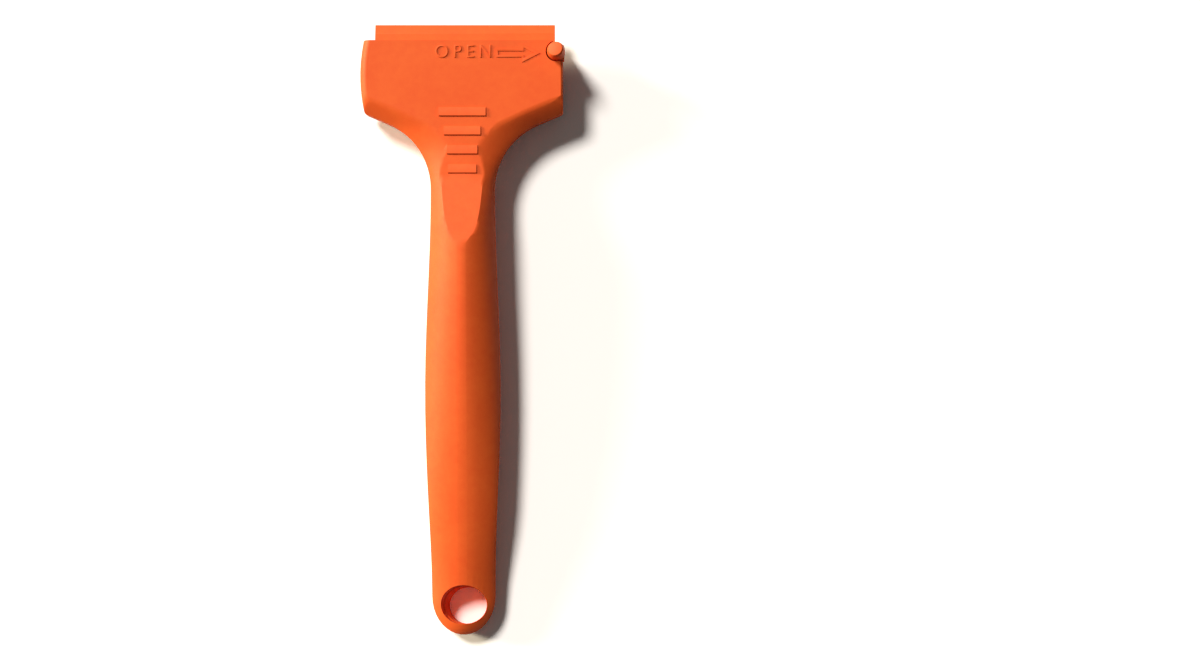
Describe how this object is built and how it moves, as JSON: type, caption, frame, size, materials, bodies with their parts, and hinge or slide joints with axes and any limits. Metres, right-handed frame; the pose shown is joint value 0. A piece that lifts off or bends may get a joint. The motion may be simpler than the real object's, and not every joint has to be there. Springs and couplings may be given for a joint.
{
  "type": "razor blade scraper",
  "caption": "Hand scraper whose flat head clamps a double-edged plastic blade behind a hinged door, kept shut by a sliding latch; hollow handle with thumb ramp and hanging hole.",
  "frame": {"origin": "on the table, under the middle of the tool's length and width", "axes": "+Y up the handle towards the blade's edge, +Z from the table through the front face, +X across the head towards the latch"},
  "size_m": [0.0432, 0.1296, 0.0126],
  "materials": {
    "handle_plastic": "satin moulded orange",
    "blade_plastic": "satin moulded orange",
    "steel": "drawn wire"
  },
  "bodies": {
    "handle": {"handle_front": "handle_plastic", "handle_back": "handle_plastic", "hinge_pin": "steel"},
    "door": {"clamp_door": "handle_plastic", "blade": "blade_plastic", "latch_spring": "steel", "latch_cover": "handle_plastic"},
    "latch": {"latch_slide": "handle_plastic"}
  },
  "joints": [
    {"name": "door_hinge", "type": "hinge", "parent": "handle", "child": "door", "pos_m": [-0.01945, 0.0538, 0.004], "axis": [0, 1, 0], "range_deg": [0, 110]},
    {"name": "latch_slide", "type": "slide", "parent": "door", "child": "latch", "axis": [1, 0, 0], "range_m": [0, 0.0024], "stiffness_N_per_m": 150, "springref_m": -0.002, "deforming": ["latch_spring"]}
  ]
}
